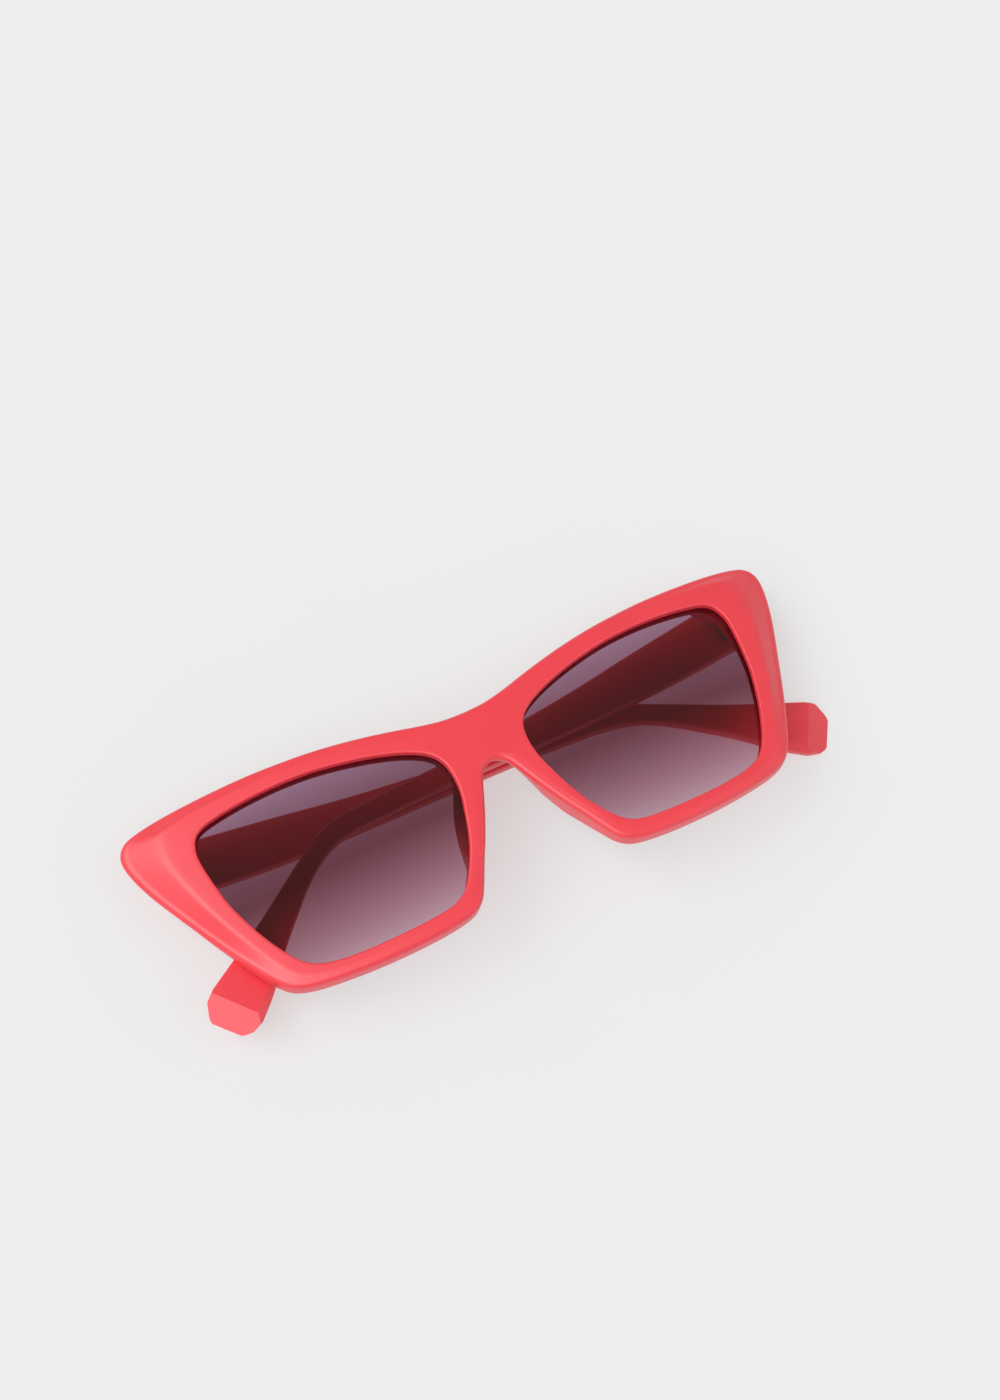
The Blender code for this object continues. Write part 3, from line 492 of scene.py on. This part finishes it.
def lens_side_points(opening, into, pad, block, floor):
    """The back lip, the groove that holds the lens and the front lip, from back to front."""
    inner_back = RIM_DEPTH + PAD_SLOPE * pad
    lip = PAD_LIP * lip_share(*opening)
    points = []

    def add(offset, depth):
        x, y = opening + into * offset
        points.append((x, y, face_z(x, y) - depth))

    add(LIP_WIDTH - lip, inner_back)
    x, y, z = points[0]
    points[0] = (x, y, z + (floor + PAD_RISE * pad - z) * block)
    for angle in quarter(LIP_ROWS):
        add(LIP_EDGE * (1 - math.sin(angle)) - lip, inner_back - LIP_EDGE * (1 - math.cos(angle)))
    add(0, GROOVE_BACK)
    add(GROOVE_FLOOR, GROOVE_BACK - GROOVE_CORNER)
    add(GROOVE_FLOOR, GROOVE_FRONT + GROOVE_CORNER)
    add(0, GROOVE_FRONT)
    for angle in quarter(INNER_ROWS):
        add(INNER_EDGE * (1 - math.cos(angle)), INNER_EDGE * (1 - math.sin(angle)))
    return points


def facet_drop(share, break_at, drop):
    """How far the face has dropped at this share of the way out: flat, then a facet, with a soft crest."""
    def soft(value):
        return 0.5 * (value + math.sqrt(value * value + CREST_WIDTH * CREST_WIDTH))
    end = soft(1 - break_at) - soft(-break_at)
    return drop * (soft(share - break_at) - soft(-break_at)) / end


def face_points(start, end):
    """Points across the face from start to end, each with its share of the way."""
    return [(share, *(start + (end - start) * share)) for share in FACE_SHARES]


def wall_points(edge, out, drop, lean, floor):
    """The outer edge's rounding, the wall under it and the rounding at its back."""
    points = []
    for angle in quarter(OUTER_ROWS)[1:]:
        x, y = edge + out * OUTER_EDGE * (1 - math.sin(angle))
        points.append((x, y, face_z(x, y) - drop - OUTER_EDGE * (1 - math.cos(angle))))
    top = points[-1][2]
    for share in QUARTER_SHARES:
        x, y = edge + out * lean * share
        points.append((x, y, top + (floor + BACK_EDGE - top) * share))
    for angle in quarter(BACK_ROWS):
        x, y = edge + out * (lean + BACK_EDGE * (1 - math.cos(angle)))
        points.append((x, y, floor + BACK_EDGE * (1 - math.sin(angle))))
    return points


def back_points(points):
    """The flat back of a section, from its last point so far to its first."""
    start, end = np.array(points[-1]), np.array(points[0])
    return [tuple(start + (end - start) * share) for share in QUARTER_SHARES]


def side_section(opening, into, edge, out, break_at, drop, endpiece, pad, lean):
    """One closed section: lens side, face, outer edge, wall and back."""
    floor = face_z(*edge) - RIM_DEPTH + BACK_RISE * drop - (PAD_DEPTH - RIM_DEPTH) * pad
    floor += (ENDPIECE_BACK - floor) * endpiece
    points = lens_side_points(opening, into, pad, max(endpiece, pad), floor)
    for share, x, y in face_points(opening + into * INNER_EDGE, edge + out * OUTER_EDGE):
        points.append((x, y, face_z(x, y) - facet_drop(share, break_at, drop)))
    points += wall_points(edge, out, drop, lean, floor)
    return points + back_points(points)


def bridge_section(opening, into, height):
    """A section whose face and back end on the plane between the halves. None marks points left out."""
    floor = face_z(0, height) - RIM_DEPTH
    points = lens_side_points(opening, into, 0.0, 0.0, floor)
    for _, x, y in face_points(opening + into * INNER_EDGE, np.array((0.0, height))):
        points.append((x, y, face_z(x, y)))
    points += [None] * (WALL_POINTS - 1)
    points.append((0.0, height, floor))
    return points + back_points(points)


def front_half():
    """The +X half of the front, open at x = 0."""
    openings, side, bridge = fine_stations()
    into = -left_normals(openings, closed=True)
    out = left_normals(side[:, :2], closed=False)
    out[0] = (0.0, 1.0)
    out[-1] = (0.0, -1.0)
    sections = []
    for row in range(len(side)):
        edge, rest = side[row, :2], side[row, 2:]
        sections.append(side_section(openings[row], into[row], edge, out[row], *rest))
    for row, height in enumerate(bridge, start=len(side)):
        sections.append(bridge_section(openings[row], into[row], height))
    bm = bmesh.new()
    rings = [[p and bm.verts.new(p) for p in section] for section in sections]
    for index, ring in enumerate(rings):
        after = rings[(index + 1) % len(rings)]
        for a in range(len(ring)):
            b = (a + 1) % len(ring)
            corners = (ring[a], ring[b], after[b], after[a])
            if all(corners):
                bm.faces.new(corners)
    return bm


def on_middle(verts):
    """The vertices on the plane between the halves."""
    return [v for v in verts if abs(v.co.x) < ON_MIDDLE]


def make_front(surface):
    """The whole front, mirrored from its half."""
    bm = front_half()
    seam = on_middle(bm.verts)
    other = bmesh.ops.duplicate(bm, geom=everything(bm))["geom"]
    verts = [g for g in other if isinstance(g, bmesh.types.BMVert)]
    faces = [g for g in other if isinstance(g, bmesh.types.BMFace)]
    for vert in verts:
        vert.co.x = -vert.co.x
    bmesh.ops.reverse_faces(bm, faces=faces)
    seam += on_middle(verts)
    bmesh.ops.remove_doubles(bm, verts=seam, dist=SEAM_WELD)
    bmesh.ops.recalc_face_normals(bm, faces=bm.faces)
    nodes = ["front_frame"]
    return mesh_piece("front_shell", bm, "front", nodes, surface, FRONT_SHARP_FROM)


# ---------------------------------------------------------------- lenses


def make_lens(side_name, side, surface):
    """One lens: a crowned sheet with a bevelled edge, inside the rim's groove."""
    outline = opening_curve(LENS_ROWS_BETWEEN)
    outline = outline - left_normals(outline, closed=True) * LENS_IN_GROOVE
    middle = outline.mean(axis=0)
    back = LENS_FRONT + LENS_THICK
    bm = bmesh.new()

    def ring_at(share, depth):
        rows = middle + (outline - middle) * share
        rise = LENS_CROWN * (1 - share * share)
        return [bm.verts.new((side * x, y, face_z(x, y) - depth + rise)) for x, y in rows]

    rings = [ring_at(share, LENS_FRONT) for share in LENS_RINGS]
    rings += [ring_at(1.0, LENS_FRONT + LENS_BEVEL), ring_at(1.0, back - LENS_BEVEL)]
    rings += [ring_at(share, back) for share in reversed(LENS_RINGS)]
    count = len(outline)
    for first, second in zip(rings, rings[1:]):
        for a in range(count):
            b = (a + 1) % count
            bm.faces.new((first[a], second[a], second[b], first[b]))
    for ring, depth in ((rings[0], LENS_FRONT), (rings[-1], back)):
        x, y = middle
        hub = bm.verts.new((side * x, y, face_z(x, y) - depth + LENS_CROWN))
        for a in range(count):
            bm.faces.new((hub, ring[a], ring[(a + 1) % count]))
    bmesh.ops.recalc_face_normals(bm, faces=bm.faces)
    name, nodes = f"{side_name}_lens_sheet", [f"lens_{side_name}"]
    return mesh_piece(name, bm, "front", nodes, surface, LENS_SHARP_FROM)


# ---------------------------------------------------------------- temples


def turned_ear(point, degrees):
    """A point of the temple's outline after its ear end is bent by this much more or less."""
    turn = math.radians(degrees) * smooth((point[0] - EAR_PIVOT[0] + EAR_BLEND / 2) / EAR_BLEND)
    dx, dy = point[0] - EAR_PIVOT[0], point[1] - EAR_PIVOT[1]
    cos, sin = math.cos(turn), math.sin(turn)
    return EAR_PIVOT[0] + dx * cos + dy * sin, EAR_PIVOT[1] - dx * sin + dy * cos


def temple_curve(name, side_name, side):
    """The temple's plate as a filled 2D curve with rounded edges."""
    curve = bpy.data.curves.new(name, "CURVE")
    curve.dimensions = "2D"
    curve.fill_mode = "BOTH"
    curve.resolution_u = CURVE_STEPS
    curve.extrude = TEMPLE_THICK / 2 - TEMPLE_EDGE
    curve.bevel_depth = TEMPLE_EDGE
    curve.bevel_resolution = BEVEL_STEPS
    curve.offset = -TEMPLE_EDGE
    outline = TEMPLE_TOP + TEMPLE_END + TEMPLE_BOTTOM
    corners = {TEMPLE_TOP[0], TEMPLE_BOTTOM[-1], *TEMPLE_END}
    line = curve.splines.new("BEZIER")
    line.use_cyclic_u = True
    line.bezier_points.add(len(outline) - 1)
    for knot, point in zip(line.bezier_points, outline):
        s, y = turned_ear(point, EAR_TURN[side_name])
        knot.co = (-side * s, y, 0)
        kind = "VECTOR" if point in corners else "AUTO"
        knot.handle_left_type = kind
        knot.handle_right_type = kind
    return curve


def curve_bmesh(curve):
    """A bmesh of the curve's filled shape, its caps welded."""
    guide = bpy.data.objects.new("guide", curve)
    bpy.context.scene.collection.objects.link(guide)
    graph = bpy.context.evaluated_depsgraph_get()
    mesh = bpy.data.meshes.new_from_object(guide.evaluated_get(graph))
    bpy.data.objects.remove(guide)
    bm = bmesh.new()
    bm.from_mesh(mesh)
    bpy.data.meshes.remove(mesh)
    bmesh.ops.remove_doubles(bm, verts=bm.verts, dist=CURVE_WELD)
    bmesh.ops.recalc_face_normals(bm, faces=bm.faces)
    return bm


def cut_slope(bm, geometry, side_name, side, line, slope):
    """Slice the inner face away beyond this line, on a plane at this slope, and close the cut."""
    start, end = (turned_ear(point, EAR_TURN[side_name]) for point in line)
    along = Vector((-side * (end[0] - start[0]), end[1] - start[1], 0)).normalized()
    outward = Vector((along.y, -along.x, 0)) * side
    middle = Vector((-side * (start[0] + end[0]) / 2, (start[1] + end[1]) / 2, TEMPLE_THICK / 2))
    normal = outward * math.sin(slope) + Vector((0, 0, 1)) * math.cos(slope)
    cut = bmesh.ops.bisect_plane(bm, geom=geometry, plane_co=middle, plane_no=normal, clear_outer=True)
    rim = [g for g in cut["geom_cut"] if isinstance(g, bmesh.types.BMEdge)]
    bmesh.ops.holes_fill(bm, edges=rim, sides=0)


def cut_ear_end(bm, side_name, side):
    """The slanted facet across the ear end, and the chamfer along its lower edge."""
    cut_slope(bm, everything(bm), side_name, side, FACET_LINE, FACET_SLOPE)
    border = Vector((-side * EAR_END_FROM, 0, 0))
    bmesh.ops.bisect_plane(bm, geom=everything(bm), plane_co=border, plane_no=Vector((1, 0, 0)))
    faces = {f for f in bm.faces if -side * f.calc_center_median().x > EAR_END_FROM}
    geometry = [g for g in (*bm.verts, *bm.edges) if not faces.isdisjoint(g.link_faces)]
    geometry += [f for f in bm.faces if f in faces]
    cut_slope(bm, geometry, side_name, side, CHAMFER_LINE, CHAMFER_SLOPE)


def make_temple(side_name, side, surface):
    """One temple, laid from its hinge axis at its folded angle."""
    name, nodes = f"{side_name}_temple_arm", [f"temple_{side_name}"]
    bm = curve_bmesh(temple_curve(name, side_name, side))
    cut_ear_end(bm, side_name, side)
    hinge = Matrix.Translation((side * HINGE_X, 0, HINGE_Z))
    fold = Matrix.Rotation(FOLD[side_name], 4, "Y")
    drop = Matrix.Translation((0, 0, -TEMPLE_INNER - TEMPLE_THICK / 2))
    bmesh.ops.transform(bm, matrix=hinge @ fold @ drop, verts=bm.verts)
    body = f"{side_name}_temple"
    return mesh_piece(name, bm, body, nodes, surface, TEMPLE_SHARP_FROM)


# ---------------------------------------------------------------- stage


def make_camera():
    """The camera, turned about its own axis as the picture is."""
    data = bpy.data.cameras.new("camera")
    data.lens = LENS_LENGTH
    data.clip_start, data.clip_end = CAMERA_CLIP
    camera = bpy.data.objects.new("camera", data)
    bpy.context.scene.collection.objects.link(camera)
    place, aim = Vector(CAMERA_AT) * MM, Vector(CAMERA_AIM) * MM
    camera.location = place
    facing = (aim - place).to_track_quat("-Z", "Y").to_matrix()
    camera.rotation_euler = (facing @ Matrix.Rotation(CAMERA_ROLL, 3, "Z")).to_euler()
    bpy.context.scene.camera = camera


def make_floor():
    """A wide pale floor."""
    bm = bmesh.new()
    bmesh.ops.create_grid(bm, x_segments=1, y_segments=1, size=FLOOR_HALF)
    mesh = bpy.data.meshes.new("floor")
    bm.to_mesh(mesh)
    bm.free()
    mesh.materials.append(floor_paint())
    floor = bpy.data.objects.new("floor", mesh)
    bpy.context.scene.collection.objects.link(floor)


def sun(name, direction, strength, angle):
    """A broad, even light from a direction."""
    data = bpy.data.lights.new(name, "SUN")
    data.energy = strength
    data.angle = math.radians(angle)
    lamp = bpy.data.objects.new(name, data)
    lamp.rotation_euler = Vector(direction).to_track_quat("Z", "Y").to_euler()
    bpy.context.scene.collection.objects.link(lamp)


def make_light():
    """Soft light: two broad suns from the wearer's right, a weaker one from the left, and a surround."""
    world = bpy.data.worlds.new("studio")
    bpy.context.scene.world = world
    world.use_nodes = True
    back = world.node_tree.nodes["Background"]
    back.inputs["Color"].default_value = WHITE
    back.inputs["Strength"].default_value = SURROUND
    for values in SUNS:
        sun(*values)


bpy.context.scene.view_settings.view_transform = "Standard"
coral = coral_plastic()
tint = tinted_lens_with_painted_shade()
steel = hinge_steel()
make_camera()
make_floor()
make_light()
make_front(coral)
for side_name, side in SIDES:
    make_lens(side_name, side, tint)
    make_temple(side_name, side, coral)
for name, node in frame["nodes"].items():
    if "hinge" in name or "screw" in name:
        node.data.materials.clear()
        node.data.materials.append(steel)
